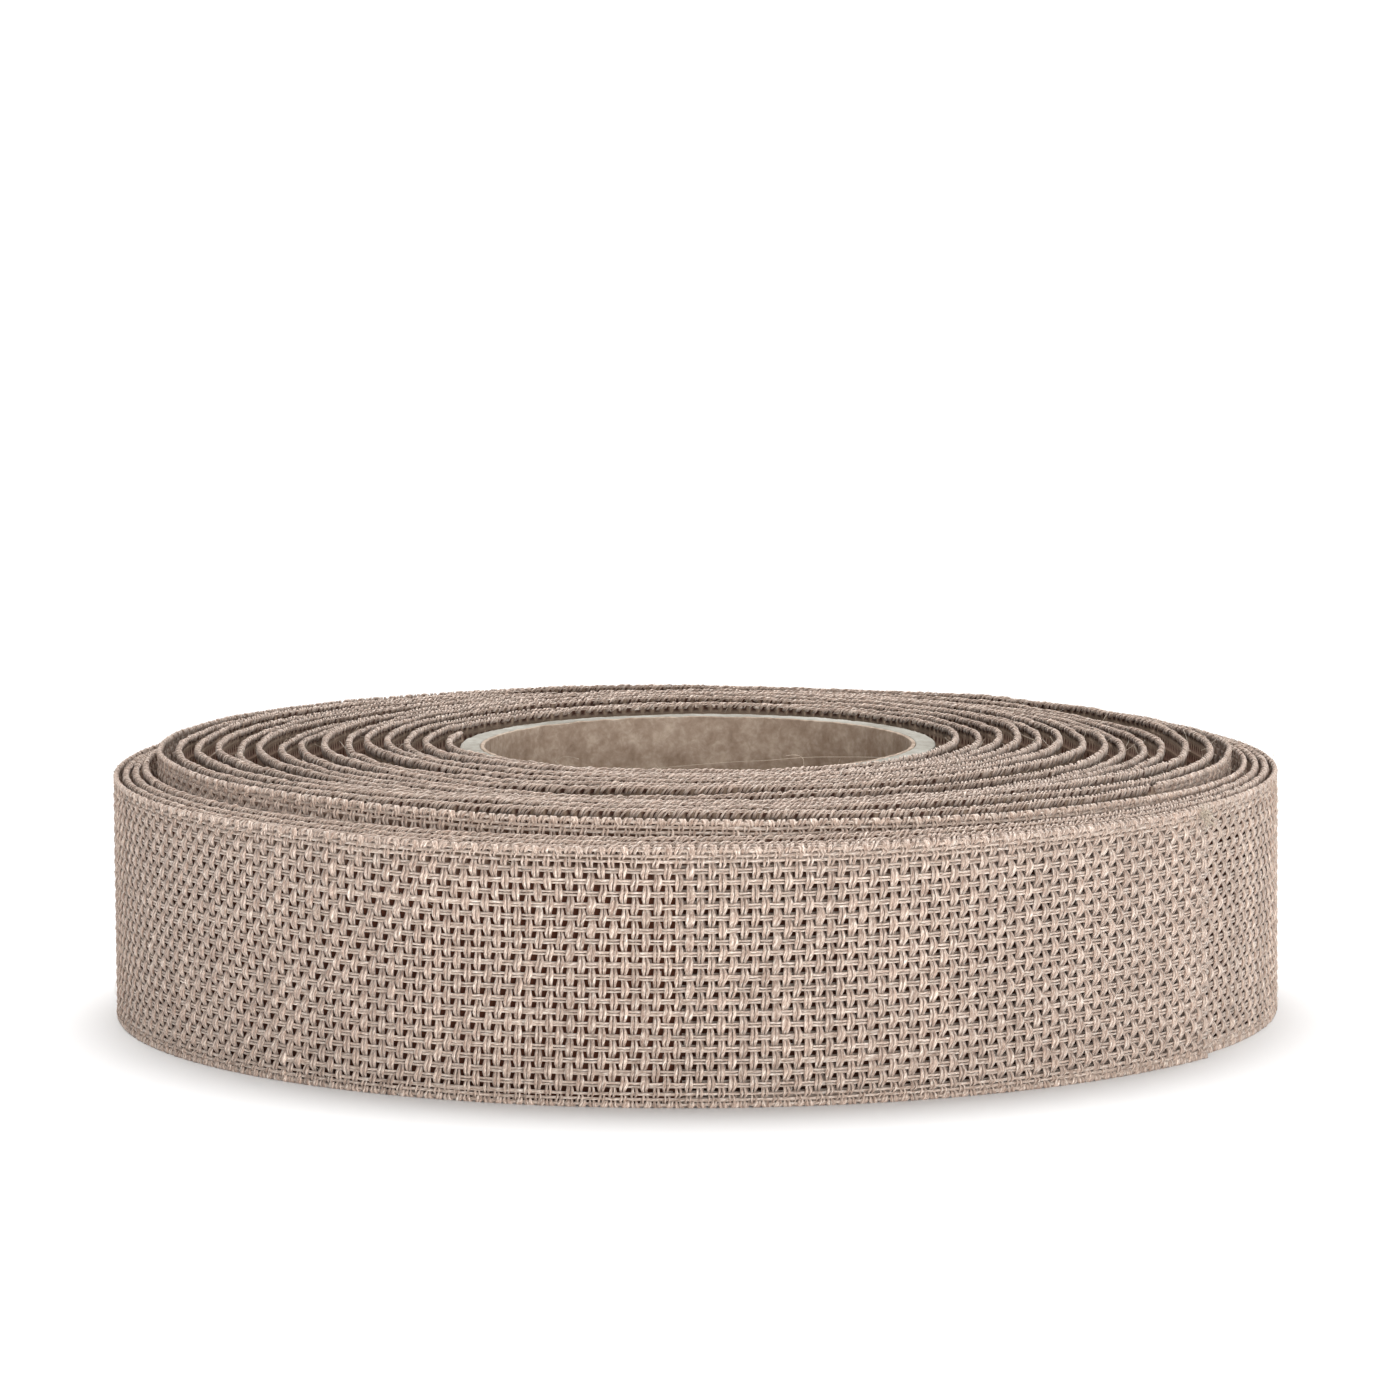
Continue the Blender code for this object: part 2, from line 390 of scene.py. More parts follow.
weave = {
    "weftPitch": 1.04 * mm,  # from one pair of crosswise yarns to the next
    "weftApart": 0.18 * mm,  # half the step between the two yarns of a pair
    "weftSpread": 0.2,  # how much further apart they lie where they pass over the warp
    "weftWide": 0.195 * mm,
    "weftThick": 0.125 * mm,
    "weftCrimp": 0.22 * mm,  # how far it swings in and out over the warp
    "weftBulge": 0.26,  # how much wider a yarn is where it passes over
    "weftSway": 0.05 * mm,
    "weftLean": 0.085 * mm,  # how far a yarn steps along the ribbon as it passes over a warp row
    "weftDrift": 0.3 * mm,  # slow wander of the rows from straight
    "warpPairs": 19,
    "warpApart": 0.14 * mm,
    "warpWide": 0.15 * mm,
    "warpThick": 0.11 * mm,
    "warpCrimp": 0.06 * mm,
    "drawnWarpPitch": 1.1667 * mm,  # between the warp pairs where the weave is drawn on a sheet
    "crimpLightAndShade": 0.2,  # painted light and shade: how much paler a yarn is painted where it stands out, and how much darker where it dips under
    "shadeBehind": 0.22,  # how much darker the yarns are that lie behind the free end
    "firstPair": 2.2 * mm,  # from the ribbon's edge
    "selvedgeRows": (0.3 * mm, 0.8 * mm, 1.3 * mm),
    # a weft's width at the very edge, among the selvedge rows and inside them
    "edgeThinning": (1.1, 0.5, 1.0),
    "sides": 4,
}

weftLinen = linenYarn("linen weft yarn", "7a5f50", "bda798", "f6ece0", 0.2)
warpLinen = linenYarn("linen warp yarn", "846a5a", "c9b5a6", "fbf2e8", 0.2)
looseLinen = linenYarn("stray flax fibre", "a08c78", "c8b8a4", "efe6d8", 0.3)
groundLinen = wovenGround("woven linen ground")
print("materials made")


# ---- the woven cloth, yarn by yarn

def warpRows():
    # each row's height on the ribbon, half the step between its yarns (0 for one yarn) and its
    # thickness share
    width = ribbon["width"]
    edge = np.array(weave["selvedgeRows"])
    inner = np.linspace(weave["firstPair"], width - weave["firstPair"], weave["warpPairs"])
    centre = np.concatenate([edge, inner, width - edge[::-1]])
    single = np.concatenate([np.ones(3), np.zeros(len(inner)), np.ones(3)])
    return centre, np.where(single > 0, 0.0, weave["warpApart"]), np.where(single > 0, 1.25, 1.0)


def yarnTubes(name, path, side, normal, wide, thick, tone, start, material):
    # tubes round many paths at once: path is (yarns, rings, 3) on the flat ribbon, each ring an ellipse
    # of half axes wide along side and thick along normal; start shifts each yarn's fibre pattern
    yarns, rings, _ = path.shape
    sides = weave["sides"]
    turnOf = 2 * np.pi * (np.arange(sides) + 0.5) / sides
    ring = (wide[..., None, None] * np.cos(turnOf)[:, None] * side[..., None, :]
            + thick[..., None, None] * np.sin(turnOf)[:, None] * normal[..., None, :])
    flat = path[:, :, None, :] + ring
    points = onRoll(flat[..., 0], flat[..., 1], flat[..., 2]).reshape(-1, 3)

    run = np.concatenate([np.zeros((yarns, 1)), np.cumsum(
        np.linalg.norm(np.diff(path, axis=1), axis=2), axis=1)], axis=1) + start[:, None]
    twist = turnOf[None, None, :] + run[..., None] / (0.9 * mm)
    fibre = np.stack([1.5 * np.cos(twist), 1.5 * np.sin(twist),
                      np.broadcast_to((run / (0.7 * mm))[..., None], twist.shape)], -1)
    fibre = fibre + (np.arange(yarns) * 7.31)[:, None, None, None]

    index = np.arange(yarns * rings * sides).reshape(yarns, rings, sides)
    after = np.roll(index, -1, axis=2)
    walls = np.stack([index[:, :-1], after[:, :-1], after[:, 1:], index[:, 1:]], -1).reshape(-1, 4)
    caps = np.concatenate([index[:, 0, ::-1], index[:, -1]])

    # each yarn gets an upright band of the bake map
    band = np.arange(yarns)[:, None, None] / yarns
    across = (np.arange(sides) / sides * 0.84 / yarns)[None, None, :]
    step = 0.84 / sides / yarns
    up = (np.arange(rings) / (rings - 1))[None, :, None]
    left = band + across + 0 * up
    low = up + 0 * left
    wallMap = np.stack([
        np.stack([left[:, :-1], low[:, :-1]], -1), np.stack([left[:, :-1] + step, low[:, :-1]], -1),
        np.stack([left[:, 1:] + step, low[:, 1:]], -1), np.stack([left[:, 1:], low[:, 1:]], -1)], 3)
    capSpot = np.array([[0.86, 0.0], [0.9, 0.0], [0.9, 0.0005], [0.86, 0.0005]]) / [yarns, 1]
    capMap = np.tile(capSpot, (2 * yarns, 1, 1)) + np.stack(
        [np.tile(band[:, 0, 0], 2), np.repeat([0.0, 0.9995], yarns)], -1)[:, None, :]
    bakeMap = np.concatenate([wallMap.reshape(-1, 2), capMap.reshape(-1, 2)])
    quads = np.concatenate([walls, caps])
    tones = np.broadcast_to(tone[..., None], (yarns, rings, sides))
    return meshPiece(name, points, quads, material, {"yarnTone": tones}, {"fibrePlace": fibre}, bakeMap)


def weftLines(first, last, rowsFrom=0):
    # the crosswise yarns from number first up to last, counted back from the ribbon's free end,
    # or only their upper ends, above the warp row rowsFrom
    number = np.repeat(np.arange(first, last), 2)
    which = np.tile([-1.0, 1.0], last - first)
    centre, _, _ = warpRows()
    rows = len(centre)
    share = np.array([0.0, 0.3, 0.7])
    across = np.concatenate([(centre[:-1, None] + share * np.diff(centre)[:, None]).ravel(), centre[-1:]])
    swing = np.concatenate([np.tile(np.cos(np.pi * share), rows - 1), [1.0]])
    between = np.concatenate([np.tile(np.sin(np.pi * share), rows - 1), [0.0]])
    row = np.concatenate([np.repeat(np.arange(rows - 1), 3), [rows - 1]])
    # the crimp is shallower where the rows stand close together at the edges
    depth = np.interp(across, [0, 1.4 * mm, 2.2 * mm, ribbon["width"] - 2.2 * mm, ribbon["width"] - 1.4 * mm,
                               ribbon["width"]], [0.7, 0.8, 1, 1, 0.8, 0.7])
    over = np.where((number[:, None] + row[None, :]) % 2 == 0, 1.0, -1.0)
    height = weave["weftCrimp"] * depth * over * swing
    seeds = np.random.default_rng(11)
    jitter = seeds.normal(0, 1, (ownCount, rows))[number % ownCount]
    jitterRow = np.concatenate([
        (jitter[:, :-1, None] * (1 - share) + jitter[:, 1:, None] * share).reshape(len(number), -1),
        jitter[:, -1:]], axis=1)
    along = ribbonLength - (number[:, None] + 0.5) * weave["weftPitch"]
    along = along + which[:, None] * weave["weftApart"] * (1 + weave["weftSpread"] * over * swing)
    along = along + weave["weftSway"] * over * swing + 0.04 * mm * jitterRow
    lean = 1 + 0.9 * wander(across[None, :] + number[:, None] * 0.9 * mm, 6 * mm, 4)
    along = along + weave["weftLean"] * over * between * lean
    along = along + weave["weftDrift"] * wander(across[None, :] + number[:, None] * 0.31 * mm, 8 * mm, 3)
    across = np.broadcast_to(across, along.shape)
    body = np.stack([along, across, height], -1)

    # at both edges the yarn turns over the last warp and is tucked into the other face
    def wrap(end, direction):
        face = np.sign(body[:, end, 2])
        reach = np.array([0.22, 0.30, 0.12, -0.35]) * mm
        deep = np.array([0.13, -0.05, -0.2, -0.16]) * mm
        lean = np.array([0.08, 0.2, 0.32, 0.42]) * mm
        return np.stack([
            body[:, end, 0][:, None] + lean + 0 * reach,
            body[:, end, 1][:, None] + direction * reach,
            face[:, None] * deep], -1)

    if rowsFrom:
        return number, which, np.concatenate([body[:, 3 * rowsFrom:], wrap(-1, 1)], axis=1)
    return number, which, np.concatenate([wrap(0, -1)[:, ::-1], body, wrap(-1, 1)], axis=1)


def perpendicular(path):
    # for paths that stay across the ribbon: the direction out of the yarn in the plane of its crimp
    tangent = np.gradient(path, axis=1)
    normal = np.stack([0 * tangent[..., 0], -tangent[..., 2], tangent[..., 1]], -1)
    return normal / np.maximum(np.linalg.norm(normal, axis=-1, keepdims=True), 1e-9)


def yarnTone(number, run, seed):
    # how light each yarn is, and how that drifts along it
    own = np.random.default_rng(seed).normal(0, 1, knotCount)[number % knotCount]
    return 1.0 + 0.07 * own[:, None] + 0.09 * wander(run + number[:, None] * 0.173, 4 * mm, seed + 1)


def slubs(number, run, seed):
    # thick and thin places in the spinning
    thick = wander(run + number[:, None] * 0.319, 5 * mm, seed)
    lump = np.clip(wander(run + number[:, None] * 0.711, 9 * mm, seed + 1) - 0.72, 0, 1) * 2.2
    return 1 + 0.16 * thick + lump


def behindShade(along, across):
    # yarns behind the free end are in its shade, apart from those near the top edge
    behind = np.clip((alongAt(ribbon["turns"] - 1) - along) / (12 * mm), 0, 1)
    behind = behind * (along > alongAt(ribbon["turns"] - 1.3))
    below = np.clip((ribbon["width"] - across) / mm - 0.6, 0, 1)
    return 1 - weave["shadeBehind"] * behind * below


def weftPiece(name, first, last, rowsFrom=0):
    number, which, path = weftLines(first, last, rowsFrom)
    normal = perpendicular(path)
    side = np.broadcast_to([1.0, 0.0, 0.0], path.shape)
    code = number * 2 + (which > 0)
    size = slubs(code, path[..., 1], 21)
    standing = np.clip(path[..., 2] / weave["weftCrimp"], -1, 1)
    fromEdge = np.minimum(path[..., 1], ribbon["width"] - path[..., 1])
    bulge = (1 + weave["weftBulge"] * standing) * np.interp(
        fromEdge, [0.25 * mm, 0.7 * mm, 2.0 * mm], weave["edgeThinning"])
    # painted light and shade of the crimp: paler where the yarn stands out over a warp, darker where it dips
    # under
    tone = yarnTone(code, path[..., 1], 31) * (1 + weave["crimpLightAndShade"] * standing)
    tone = tone * behindShade(path[..., 0], path[..., 1])
    return yarnTubes(name, path, side, normal, weave["weftWide"] * size * bulge, weave["weftThick"] * size,
                     tone, code * 1.7 * mm, weftLinen)


def warpPiece(name, first, last, fray=0.0, rowsFrom=0):
    # the lengthwise yarns across the same stretch; a cut end is let run past the last weft by up to fray
    centre, apart, share = warpRows()
    row = np.concatenate([np.arange(len(centre)), np.flatnonzero(apart > 0)])
    which = np.concatenate([np.where(apart > 0, -1.0, 0.0), np.ones(int((apart > 0).sum()))])
    row, which = row[row >= rowsFrom], which[row >= rowsFrom]
    place = np.arange(2 * first, 2 * last + 1) / 2  # ring places, counted in weft steps back from the end
    along = np.broadcast_to(ribbonLength - place * weave["weftPitch"], (len(row), len(place))).copy()
    over = np.where((np.floor(place)[None, :] + row[:, None]) % 2 == 0, -1.0, 1.0)
    onYarn = (place % 1 == 0.5)[None, :]
    height = np.where(onYarn, weave["warpCrimp"] * over, 0.0)
    across = centre[row][:, None] + which[:, None] * apart[row][:, None]
    across = across + 0.05 * mm * wander(along + row[:, None] * 0.37, 6 * mm, 7)
    across = across + 0.02 * mm * wander(along + row[:, None] * 0.91 + which[:, None], 1.3 * mm, 8)
    if fray:
        reach = np.random.default_rng(15).uniform(0.1, 1.0, len(row)) * fray
        along[:, 0] += reach
        height[:, 0] += 0.3 * reach * np.random.default_rng(16).uniform(-0.2, 1.0, len(row))
        across[:, 0] += 0.3 * reach * np.random.default_rng(17).uniform(-1, 1, len(row))
    path = np.stack([along, across, height], -1)
    side = np.broadcast_to([0.0, 1.0, 0.0], path.shape)
    normal = np.broadcast_to([0.0, 0.0, 1.0], path.shape)
    code = (row * 2 + (which > 0)).astype(int)
    size = slubs(code, along, 41) * share[row][:, None]
    tone = yarnTone(code, along, 51) * behindShade(along, across)
    return yarnTubes(name, path[:, ::-1], side, normal, weave["warpWide"] * size[:, ::-1],
                     weave["warpThick"] * size[:, ::-1], tone[:, ::-1], code * 2.3 * mm, warpLinen)


def weftNumber(turn):
    return int(round((ribbonLength - float(alongAt(turn))) / weave["weftPitch"]))


tail = {
    "hinges": (0.15, 0.10, 0.05),  # turns back from the free end
    "bodies": ("tail_root", "tail_middle", "tail_tip"),
    "nodes": ("ribbon_tail_root", "ribbon_tail_middle", "ribbon_tail_tip"),
    "bendHalf": 0.022,  # turns on each side of a hinge; the ends of this stretch are worked out, but the cloth is not bent
    "start": 0.20,
    "underneath": 0.17,  # how far the yarns go on under the free end
    "fray": 1.1 * mm,
}


def wovenStretch(name, fromTurn, toTurn, fray=0.0, rowsFrom=0):
    first, last = weftNumber(toTurn), weftNumber(fromTurn)
    weft = weftPiece(name + "_weft", first, last, rowsFrom)
    warp = warpPiece(name + "_warp", first, last, fray, rowsFrom)
    flatLength = (last - first) * weave["weftPitch"]
    return weft, warp, flatLength


turns = ribbon["turns"]
outerEnds = np.linspace(turns - 1 - tail["underneath"], turns - tail["start"], 4)
for k in range(3):
    weft, warp, flatLength = wovenStretch(f"outer_turn_{k + 1}", outerEnds[k], outerEnds[k + 1])
    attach(weft, "roll")
    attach(warp, "roll")
print("outer turn woven")

tailEnds = [turns - tail["start"], turns - 0.125, turns - 0.075, turns]
for k, (body, node) in enumerate(zip(tail["bodies"], tail["nodes"])):
    weft, warp, flatLength = wovenStretch(
        f"free_end_{k + 1}", tailEnds[k], tailEnds[k + 1], tail["fray"] if k == 2 else 0.0)
    hingeAt = turns - tail["hinges"][k]
    bendFrom, bendTo = [
        onRoll(alongAt(hingeAt + s * tail["bendHalf"]), ribbon["width"] / 2, 0.0) for s in (-1, 1)]
    for piece in (weft, warp):
        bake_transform(piece)
    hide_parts(node)
print("free end woven")


# ---- the turns inside: a thin sheet of the same cloth, with its yarns wrapped over both edges

inside = {
    "columnsPerTurn": 180,
    "thick": 0.3 * mm,
    "inset": 0.28 * mm,
    "rows": 7,
    "topLoopStep": 0.52 * mm,
    "bottomLoopStep": 1.1 * mm,
    "loopShade": (1.1, 0.98, 0.55),  # painted light and shade: the loops' tone at the edge, just below it and at their low ends, paler on the edge and darker low between the turns
    "bandTurns": (5.0, 3.4),  # back from the free end: where the raised turns show their faces
    "bandDepth": 4.1 * mm,
}


def woundSheet():
    last = turns - 1 - tail["underneath"] + 0.01
    columns = int(last * inside["columnsPerTurn"])
    turn = np.linspace(0, last, columns)
    along = alongAt(turn)
    bandFrom, bandTo = turns - inside["bandTurns"][0], turns - inside["bandTurns"][1]
    inBand = np.clip((turn - bandFrom) / 0.01, 0, 1) * np.clip((bandTo - turn) / 0.01, 0, 1)
    top = ribbon["width"] - inside["inset"] - inside["bandDepth"] * inBand
    share = np.linspace(0, 1, inside["rows"])
    half = inside["thick"] / 2
    rimShare = np.concatenate([share, share[::-1]])
    out = np.concatenate([np.full(inside["rows"], half), np.full(inside["rows"], -half)])
    around = len(rimShare)
    grid = np.broadcast_to(along[:, None], (columns, around))
    rim = inside["inset"] + (top[:, None] - inside["inset"]) * rimShare[None, :]
    points = onRoll(grid, rim, out[None, :] + 0 * grid)
    index = np.arange(columns * around).reshape(columns, around)
    after = np.roll(index, -1, axis=1)
    walls = np.stack([index[:-1], index[1:], after[1:], after[:-1]], -1).reshape(-1, 4)
    flatPlace = np.stack([grid / mm, rim / mm, (out[None, :] + 0 * grid) / mm], -1)
    ends = np.stack([
        np.stack([index[e, :-1][:inside["rows"] - 1], index[e, 1:][:inside["rows"] - 1],
                  index[e, ::-1][1:inside["rows"]], index[e, ::-1][:inside["rows"] - 1]], -1)
        for e in (0, -1)])
    quads = np.concatenate([walls, ends[0], ends[1][:, ::-1]])
    piece = meshPiece("wound_ribbon", points.reshape(-1, 3), quads, groundLinen,
                      None, {"clothPlace": flatPlace})
    return piece, float(along[-1])


def edgeLoops(name, fromTurn, toTurn, step, top):
    # short yarns wrapped over the edge, each leaning along the ribbon as it crosses
    start, end = float(alongAt(fromTurn)), float(alongAt(toTurn))
    count = int((end - start) / step)
    number = np.arange(count)
    chance = np.random.default_rng(61 if top else 62)
    centre = start + (number + 0.5) * step + chance.normal(0, 0.07, count) * mm
    size = chance.uniform(0.8, 1.25, count)
    reach = np.array([0.85, 0.42, 0.1, 0.02, 0.14, 0.5]) * mm
    out = np.array([0.14, 0.25, 0.17, -0.08, -0.22, -0.2]) * mm
    lean = np.array([-0.75, -0.5, -0.2, 0.14, 0.46, 0.72]) * mm * chance.uniform(0.6, 1.4, count)[:, None]
    across = reach[None, :] * chance.uniform(0.85, 1.15, count)[:, None]
    across = across + 0.07 * mm * chance.uniform(-1, 1, count)[:, None]
    # the low ends lie between the turns, in shade
    tone = yarnTone(number, centre[:, None] + 0 * across, 71) * np.interp(
        across, [0, 0.2 * mm, 0.9 * mm], inside["loopShade"])
    if top:
        across = ribbon["width"] - 0.04 * mm - across
    path = np.stack([centre[:, None] + lean, across, out[None, :] * size[:, None]], -1)
    normal = perpendicular(path)
    side = np.broadcast_to([1.0, 0.0, 0.0], path.shape)
    wide = np.full(path.shape[:2], 0.19 * mm) * size[:, None]
    thick = np.full(path.shape[:2], 0.12 * mm) * size[:, None]
    return yarnTubes(name, path, side, normal, wide, thick, tone, number * 1.1 * mm, weftLinen)


def edgeCord(name, fromTurn, toTurn, top):
    # the outermost warp, which the loops lie over
    along = np.arange(float(alongAt(fromTurn)), float(alongAt(toTurn)), 1.6 * mm)[None, :]
    across = np.full(along.shape, 0.38 * mm)
    if top:
        across = ribbon["width"] - across
    path = np.stack([along, across, 0 * along], -1)
    side = np.broadcast_to([0.0, 1.0, 0.0], path.shape)
    normal = np.broadcast_to([0.0, 0.0, 1.0], path.shape)
    thick = np.full(along.shape, 0.2 * mm)
    return yarnTubes(name, path, side, normal, thick * 1.3, thick, yarnTone(np.zeros(1, int), along, 81),
                     np.zeros(1), warpLinen)


sheetPiece, innerLength = woundSheet()
innerEnd = turns - 1 - tail["underneath"]
bandStart, bandEnd = turns - inside["bandTurns"][0], turns - inside["bandTurns"][1]
bandRows = 3 + weave["warpPairs"] - 2
bandWeft, bandWarp, _ = wovenStretch("raised_turn_band", bandStart, bandEnd, rowsFrom=bandRows)
edgePieces = [
    bandWeft,
    bandWarp,
    edgeLoops("top_selvedge_1", 0.0, bandStart * 0.66, inside["topLoopStep"], True),
    edgeLoops("top_selvedge_2", bandStart * 0.66, bandStart, inside["topLoopStep"], True),
    edgeLoops("top_selvedge_3", bandEnd, innerEnd, inside["topLoopStep"], True),
    edgeLoops("bottom_selvedge", 0.0, innerEnd, inside["bottomLoopStep"], False),
    edgeCord("top_edge_cord", 0.0, bandStart, True),
    edgeCord("low_turn_edge_cord", bandEnd, innerEnd, True),
    edgeCord("bottom_edge_cord", 0.0, innerEnd, False),
]
for piece in [sheetPiece, *edgePieces]:
    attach(piece, "roll")
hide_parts("ribbon_roll")
print("inner turns wound")


# ---- loose fibres

loose = {
    "edgeHairs": 1100,
    "faceHairs": 500,
    "shortest": 0.5 * mm,
    "longest": 2.2 * mm,
    "halfThick": 0.02 * mm,
    "tuft": 46,  # threads let go at the upper corner of the cut end
}


def hairs(name, start, course, bend, length, halfThick, rings=5):
    # fine fibres from places on the flat ribbon: each runs off along its course and bends away from it
    s = np.linspace(0, 1, rings)[None, :, None]
    path = start[:, None, :] + length[:, None, None] * (course[:, None, :] * s + bend[:, None, :] * s ** 2)
    side = np.broadcast_to([0.6, 0.8, 0.0], path.shape)
    normal = np.broadcast_to([0.0, 0.0, 1.0], path.shape)
    thick = np.full(path.shape[:2], halfThick)
    number = np.arange(len(start))
    return yarnTubes(name, path, side, normal, thick, thick, yarnTone(number, path[..., 0], 95),
                     number * 0.9 * mm, looseLinen)


def addHairs():
    chance = np.random.default_rng(97)
    edge, face = loose["edgeHairs"], loose["faceHairs"]
    count = edge + face
    farEnd = float(alongAt(turns - tail["start"]))
    outerStart = float(alongAt(turns - 0.95))
    start = np.stack([
        np.concatenate([chance.uniform(0.0, farEnd, edge), chance.uniform(outerStart, farEnd, face)]),
        np.concatenate([np.full(edge, ribbon["width"] - 0.1 * mm),
                        chance.uniform(mm, ribbon["width"] - 0.5 * mm, face)]),
        np.concatenate([chance.uniform(-0.2, 0.2, edge) * mm, np.full(face, 0.3 * mm)])], -1)
    course = np.stack([chance.uniform(-1, 1, count), chance.uniform(-0.2, 0.5, count),
                       chance.uniform(-0.5, 0.5, count)], -1)
    course[edge:, 2] = np.abs(course[edge:, 2]) * 0.7
    bend = chance.uniform(-0.6, 0.6, (count, 3))
    bend[edge:, 2] = chance.uniform(-0.25, 0.05, face)
    length = loose["shortest"] + (loose["longest"] - loose["shortest"]) * chance.random(count) ** 2
    strays = hairs("stray_fibres", start, course, bend, length, loose["halfThick"])

    # three long ones at the front of the core: turns from the start, then along, up and inwards
    place = np.array([0.27, 0.20, 0.36])
    begin = np.stack([alongAt(place), np.full(3, ribbon["width"]), np.full(3, -0.2 * mm)], -1)
    reach = np.array([[1.0, 0.12, -0.1], [0.3, 0.9, -0.4], [0.5, 0.8, -0.6]])
    turnBack = np.array([[0.0, -0.12, 0.04], [0.5, -0.7, -0.2], [-0.9, -0.5, 0.2]])
    longOnes = hairs("long_fibres", begin, reach, turnBack, np.array([26.0, 2.6, 3.4]) * mm, 0.028 * mm, 24)

    number = loose["tuft"]
    corner = np.stack([ribbonLength - chance.uniform(0.1, 1.6, number) * mm,
                       ribbon["width"] - chance.uniform(0.1, 1.0, number) * mm,
                       chance.uniform(0.1, 0.35, number) * mm], -1)
    way = np.stack([chance.uniform(-0.4, 1.0, number), chance.uniform(-0.7, 0.6, number),
                    chance.uniform(0.1, 0.6, number)], -1)
    curl = chance.uniform(-0.7, 0.5, (number, 3))
    tuft = hairs("frayed_corner", corner, way, curl, chance.uniform(0.8, 2.0, number) * mm, 0.04 * mm, 7)
    for piece, body in ((strays, "roll"), (longOnes, "roll"), (tuft, "tail_tip")):
        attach(piece, body)


addHairs()
print("loose fibres added")


# ---- the core

core = {
    "steps": 288,
    "roundness": 0.22 * mm,
    "uneven": 0.05 * mm,  # rise and fall of the cut end
    "liningPly": 0.4 * mm,
    "liningRoundness": 0.12 * mm,
    "seam": 0.05 * mm,  # how far outside the solid lining the two plies meet
    "seamGap": 0.01 * mm,
}


def turnedRing(name, inner, outer, low, high, material, seed, roundness):
    # a ring whose wall section is a rounded box, carried round the axis with a slight unevenness
    corners = [(outer, high), (outer, low), (inner, low), (inner, high)]
    section = []
    inward = [(-1, -1), (-1, 1), (1, 1), (1, -1)]
    spans = [(90, 0), (0, -90), (-90, -180), (180, 90)]
    for (r, z), (dr, dz), (a, b) in zip(corners, inward, spans):
        for angle in np.radians(np.linspace(a, b, 5)):
            section.append((r + dr * roundness + roundness * np.cos(angle),
                            z + dz * roundness + roundness * np.sin(angle)))
    dense = []
    for (a, b), (c, d) in zip(section, section[1:] + section[:1]):
        pieces = max(1, int(math.hypot(c - a, d - b) / (1.2 * mm)))
        dense += [(a + (c - a) * k / pieces, b + (d - b) * k / pieces) for k in range(pieces)]
    profile = np.array(dense)
    angle = 2 * np.pi * np.arange(core["steps"]) / core["steps"]
    radius = profile[None, :, 0] + 0 * angle[:, None]
    height = profile[None, :, 1] + 0 * angle[:, None]
    ripple = wander(angle[:, None] * 40 + profile[None, :, 0] * 3000, 1.0, seed)
    blendIn = np.sin(angle / 2)[:, None] ** 0.2  # hides the seam where the noise doesn't meet itself
    top = np.clip((height - high + 1.0 * mm) / mm, 0, 1)
    height = height + core["uneven"] * ripple * blendIn * top
    points = np.stack([radius * np.cos(angle)[:, None], radius * np.sin(angle)[:, None], height], -1)
    index = np.arange(points.shape[0] * points.shape[1]).reshape(points.shape[:2])
    nextRound, nextUp = np.roll(index, -1, axis=0), np.roll(index, -1, axis=1)
    quads = np.stack([index, nextUp, np.roll(nextUp, -1, axis=0), nextRound], -1).reshape(-1, 4)
    return meshPiece(name, points.reshape(-1, 3), quads, material)


_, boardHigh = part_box("core_board")
_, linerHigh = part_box("core_liner")
wallSeam = linerHigh.x + core["seam"]
bore = linerHigh.x - core["liningPly"]
boardPiece = turnedRing("core_board_tube", wallSeam, boardHigh.x, 0.0, boardHigh.z,
                        greyboard("greyboard"), 91, core["roundness"])
linerPiece = turnedRing("core_kraft_lining", bore, wallSeam - core["seamGap"], 0.0, linerHigh.z,
                        kraftPly("kraft paper"), 92, core["liningRoundness"])
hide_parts("core_board")
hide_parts("core_liner")
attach(boardPiece, "roll")
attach(linerPiece, "roll")
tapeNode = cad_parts["start_tape"]
tapeNode.data.materials.clear()
tapeNode.data.materials.append(crepeTape("crepe paper tape"))
print("core made")



# ---- table and light

studio = {
    "floorSize": 40.0,
    "roomLight": 0.2,
    "overheadLight": 6.7,  # a large soft light above and behind the roll
    "overheadRise": 68.0,  # degrees above the table
    "overheadReach": (16.0, 36.0),  # degrees from its middle where it starts to fade and where it ends
    "keyPower": 2.7,
    "fillPower": 4.0,
}


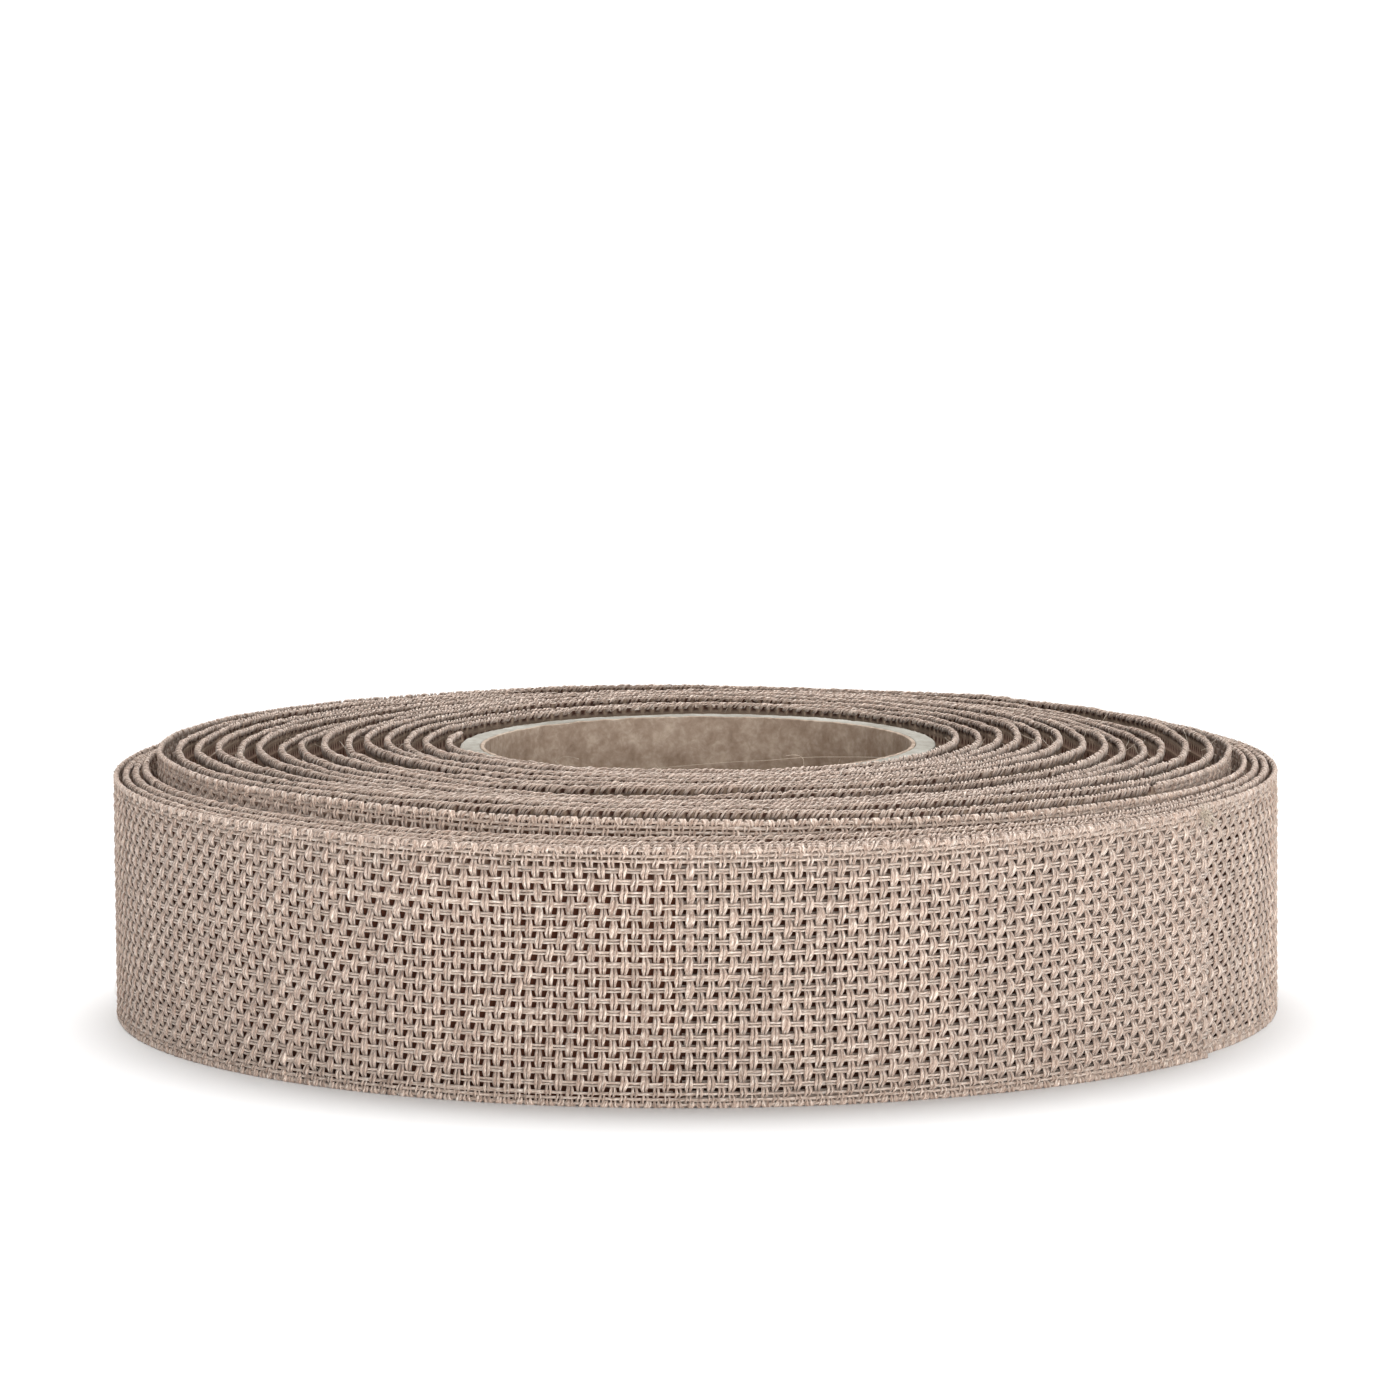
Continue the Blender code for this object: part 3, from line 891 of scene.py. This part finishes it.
def addFloor():
    bpy.ops.mesh.primitive_plane_add(size=studio["floorSize"], location=(0, 0, 0))
    floor = bpy.context.active_object
    floor.name = "table"
    material, tree, shader = newMaterial("white table")
    where = addNode(tree, "ShaderNodeTexCoord")
    grain = addNode(tree, "ShaderNodeTexNoise", None,
                    {"Vector": where.outputs["Object"], "Scale": 3.0, "Detail": 1.0})
    ramp = addNode(tree, "ShaderNodeValToRGB", None, {"Fac": grain.outputs["Fac"]})
    setRamp(ramp, [(0.3, "e8e8e8"), (0.7, "eaeaea")])
    tree.links.new(ramp.outputs["Color"], shader.inputs["Base Color"])
    shader.inputs["Roughness"].default_value = 0.9
    shader.inputs["Specular IOR Level"].default_value = 0.1
    floor.data.materials.append(material)


def addSoftbox(name, place, size, power):
    lamp = bpy.data.lights.new(name, "AREA")
    lamp.shape = "RECTANGLE"
    lamp.size, lamp.size_y = size
    lamp.energy = power
    box = bpy.data.objects.new(name, lamp)
    box.location = place
    aim = -np.array(place)
    flat = math.hypot(aim[0], aim[1])
    box.rotation_euler = (math.atan2(flat, -aim[2]), 0.0, math.atan2(aim[1], aim[0]) - math.pi / 2)
    scene.collection.objects.link(box)


def addWorld():
    # an evenly lit white room, and one large bright patch of its ceiling with soft edges
    world = bpy.data.worlds.new("white room")
    world.use_nodes = True
    tree = world.node_tree
    where = addNode(tree, "ShaderNodeTexCoord")
    rise = math.radians(studio["overheadRise"])
    near = addNode(tree, "ShaderNodeVectorMath", {"operation": "DOT_PRODUCT"},
                   {0: where.outputs["Generated"], 1: (0.0, math.cos(rise), math.sin(rise))})
    fadeFrom, fadeTo = [math.cos(math.radians(a)) for a in studio["overheadReach"]]
    level = addNode(tree, "ShaderNodeMapRange", {"interpolation_type": "SMOOTHSTEP"}, {
        "Value": near.outputs["Value"], "From Min": fadeTo, "From Max": fadeFrom,
        "To Min": studio["roomLight"], "To Max": studio["overheadLight"]})
    tree.links.new(level.outputs["Result"], tree.nodes["Background"].inputs["Strength"])
    tree.nodes["Background"].inputs["Color"].default_value = (1, 1, 1, 1)
    scene.world = world


addFloor()
addWorld()
addSoftbox("key softbox", (0.5, -0.85, 0.14), (0.5, 0.24), studio["keyPower"])
addSoftbox("fill softbox", (0.1, -1.0, 0.16), (0.5, 0.24), studio["fillPower"])
scene.view_settings.view_transform = "Standard"
scene.view_settings.look = "None"
print("studio lit")
